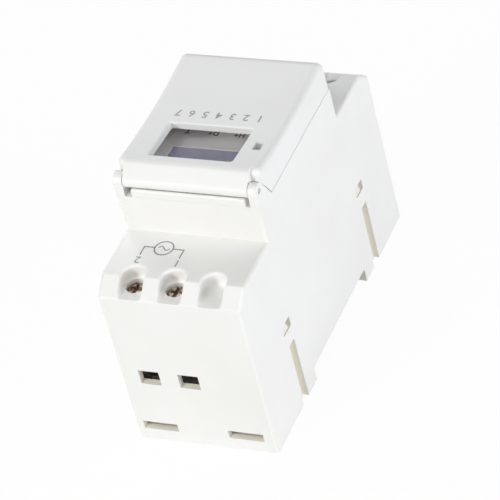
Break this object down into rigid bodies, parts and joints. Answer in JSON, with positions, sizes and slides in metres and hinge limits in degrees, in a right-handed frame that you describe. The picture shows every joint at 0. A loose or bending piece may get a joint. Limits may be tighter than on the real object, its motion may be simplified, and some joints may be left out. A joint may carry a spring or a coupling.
{
  "type": "digital timer switch",
  "caption": "Two-module digital timer switch for a mounting rail, with a hinged lid over display and keys, clamp terminals at both ends and a sliding rail clip.",
  "frame": {"origin": "centre of the case's rear face, where it stands when laid on its back", "axes": "+X to the right seen from the front, +Y along the case to the supply terminals, +Z from the rear face to the lid"},
  "size_m": [0.036, 0.086, 0.0659],
  "materials": {
    "case_plastic": "fine even satin moulding",
    "lid_plastic": "fine even satin moulding",
    "base_plastic": "satin moulding",
    "panel_plastic": "satin moulding with grey numerals",
    "key_plastic": "smooth rubbery satin",
    "display_glass": "clear with grey polariser",
    "display_frame_plastic": "plain moulding",
    "contact_rubber": "striped silicone",
    "board_laminate": "green solder mask",
    "lamp_resin": "clear tinted resin",
    "switch_plastic": "plain",
    "chip_resin": "moulded resin",
    "can_metal": "plain nickel",
    "cell_metal": "stamped nickel steel",
    "cable_plastic": "ribbed flat cable",
    "small_screw_steel": "zinc plate",
    "relay_plastic": "plain moulding",
    "capacitor_plastic": "plain moulding",
    "capacitor_sleeve": "shrunk sleeve",
    "resistor_ceramic": "banded",
    "varistor_resin": "dipped resin",
    "clip_plastic": "satin moulding",
    "spring_steel": "drawn wire",
    "bar_brass": "stamped, tinned edge",
    "cage_steel": "zinc plate",
    "screw_steel": "zinc plate, slightly worn"
  },
  "bodies": {
    "root": {"housing": "case_plastic", "base": "base_plastic", "front_panel": "panel_plastic", "display_glass": "display_glass", "display_frame": "display_frame_plastic", "display_connectors": "contact_rubber", "display_board": "board_laminate", "indicator_lamp": "lamp_resin", "tact_switches": "switch_plastic", "timer_chip": "chip_resin", "crystal": "can_metal", "backup_battery": "cell_metal", "board_link": "cable_plastic", "main_board": "board_laminate", "board_screws": "small_screw_steel", "relay": "relay_plastic", "line_capacitor": "capacitor_plastic", "filter_capacitors": "capacitor_sleeve", "rectifier_diodes": "chip_resin", "resistor": "resistor_ceramic", "varistor": "varistor_resin", "clip_spring": "spring_steel", "terminal_bar_1": "bar_brass", "terminal_bar_2": "bar_brass", "terminal_bar_3": "bar_brass", "terminal_bar_4": "bar_brass", "terminal_bar_5": "bar_brass"},
    "lid": {"lid": "lid_plastic"},
    "din_clip": {"din_clip": "clip_plastic"},
    "key_clock": {"key_clock": "key_plastic"},
    "key_day": {"key_day": "key_plastic"},
    "key_hour": {"key_hour": "key_plastic"},
    "key_minute": {"key_minute": "key_plastic"},
    "key_program": {"key_program": "key_plastic"},
    "key_manual": {"key_manual": "key_plastic"},
    "key_recall": {"key_recall": "key_plastic"},
    "screw_1": {"terminal_screw_1": "screw_steel"},
    "clamp_1": {"clamp_cage_1": "cage_steel"},
    "screw_2": {"terminal_screw_2": "screw_steel"},
    "clamp_2": {"clamp_cage_2": "cage_steel"},
    "screw_3": {"terminal_screw_3": "screw_steel"},
    "clamp_3": {"clamp_cage_3": "cage_steel"},
    "screw_4": {"terminal_screw_4": "screw_steel"},
    "clamp_4": {"clamp_cage_4": "cage_steel"},
    "screw_5": {"terminal_screw_5": "screw_steel"},
    "clamp_5": {"clamp_cage_5": "cage_steel"}
  },
  "joints": [
    {"name": "lid_hinge", "type": "hinge", "parent": "root", "child": "lid", "pos_m": [0, 0.0211, 0.0617], "axis": [-1, 0, 0], "range_deg": [0, 116]},
    {"name": "clip_slide", "type": "slide", "parent": "root", "child": "din_clip", "axis": [0, -1, 0], "range_m": [0, 0.0045], "stiffness_N_per_m": 800, "springref_m": -0.002, "deforming": ["clip_spring"]},
    {"name": "key_clock_press", "type": "slide", "parent": "root", "child": "key_clock", "axis": [0, 0, -1], "range_m": [0, 0.0005], "stiffness_N_per_m": 500, "springref_m": -0.0002},
    {"name": "key_day_press", "type": "slide", "parent": "root", "child": "key_day", "axis": [0, 0, -1], "range_m": [0, 0.0005], "stiffness_N_per_m": 500, "springref_m": -0.0002},
    {"name": "key_hour_press", "type": "slide", "parent": "root", "child": "key_hour", "axis": [0, 0, -1], "range_m": [0, 0.0005], "stiffness_N_per_m": 500, "springref_m": -0.0002},
    {"name": "key_minute_press", "type": "slide", "parent": "root", "child": "key_minute", "axis": [0, 0, -1], "range_m": [0, 0.0005], "stiffness_N_per_m": 500, "springref_m": -0.0002},
    {"name": "key_program_press", "type": "slide", "parent": "root", "child": "key_program", "axis": [0, 0, -1], "range_m": [0, 0.0005], "stiffness_N_per_m": 500, "springref_m": -0.0002},
    {"name": "key_manual_press", "type": "slide", "parent": "root", "child": "key_manual", "axis": [0, 0, -1], "range_m": [0, 0.0005], "stiffness_N_per_m": 500, "springref_m": -0.0002},
    {"name": "key_recall_press", "type": "slide", "parent": "root", "child": "key_recall", "axis": [0, 0, -1], "range_m": [0, 0.0005], "stiffness_N_per_m": 500, "springref_m": -0.0002},
    {"name": "screw_1_turn", "type": "hinge", "parent": "root", "child": "screw_1", "pos_m": [0, 0.038, 0.04], "axis": [0, 0, -1], "range_deg": [0, 3024]},
    {"name": "clamp_1_lift", "type": "slide", "parent": "root", "child": "clamp_1", "axis": [0, 0, 1], "range_m": [0, 0.0042]},
    {"name": "screw_2_turn", "type": "hinge", "parent": "root", "child": "screw_2", "pos_m": [0.0101, 0.038, 0.04], "axis": [0, 0, -1], "range_deg": [0, 3024]},
    {"name": "clamp_2_lift", "type": "slide", "parent": "root", "child": "clamp_2", "axis": [0, 0, 1], "range_m": [0, 0.0042]},
    {"name": "screw_3_turn", "type": "hinge", "parent": "root", "child": "screw_3", "pos_m": [-0.0101, -0.038, 0.04], "axis": [0, 0, -1], "range_deg": [0, 3024]},
    {"name": "clamp_3_lift", "type": "slide", "parent": "root", "child": "clamp_3", "axis": [0, 0, 1], "range_m": [0, 0.0042]},
    {"name": "screw_4_turn", "type": "hinge", "parent": "root", "child": "screw_4", "pos_m": [0, -0.038, 0.04], "axis": [0, 0, -1], "range_deg": [0, 3024]},
    {"name": "clamp_4_lift", "type": "slide", "parent": "root", "child": "clamp_4", "axis": [0, 0, 1], "range_m": [0, 0.0042]},
    {"name": "screw_5_turn", "type": "hinge", "parent": "root", "child": "screw_5", "pos_m": [0.0101, -0.038, 0.04], "axis": [0, 0, -1], "range_deg": [0, 3024]},
    {"name": "clamp_5_lift", "type": "slide", "parent": "root", "child": "clamp_5", "axis": [0, 0, 1], "range_m": [0, 0.0042]}
  ],
  "couplings": [
    {"joint": "screw_1_turn", "follows": "clamp_1_lift", "rad_per_m": 12566},
    {"joint": "screw_2_turn", "follows": "clamp_2_lift", "rad_per_m": 12566},
    {"joint": "screw_3_turn", "follows": "clamp_3_lift", "rad_per_m": 12566},
    {"joint": "screw_4_turn", "follows": "clamp_4_lift", "rad_per_m": 12566},
    {"joint": "screw_5_turn", "follows": "clamp_5_lift", "rad_per_m": 12566}
  ]
}
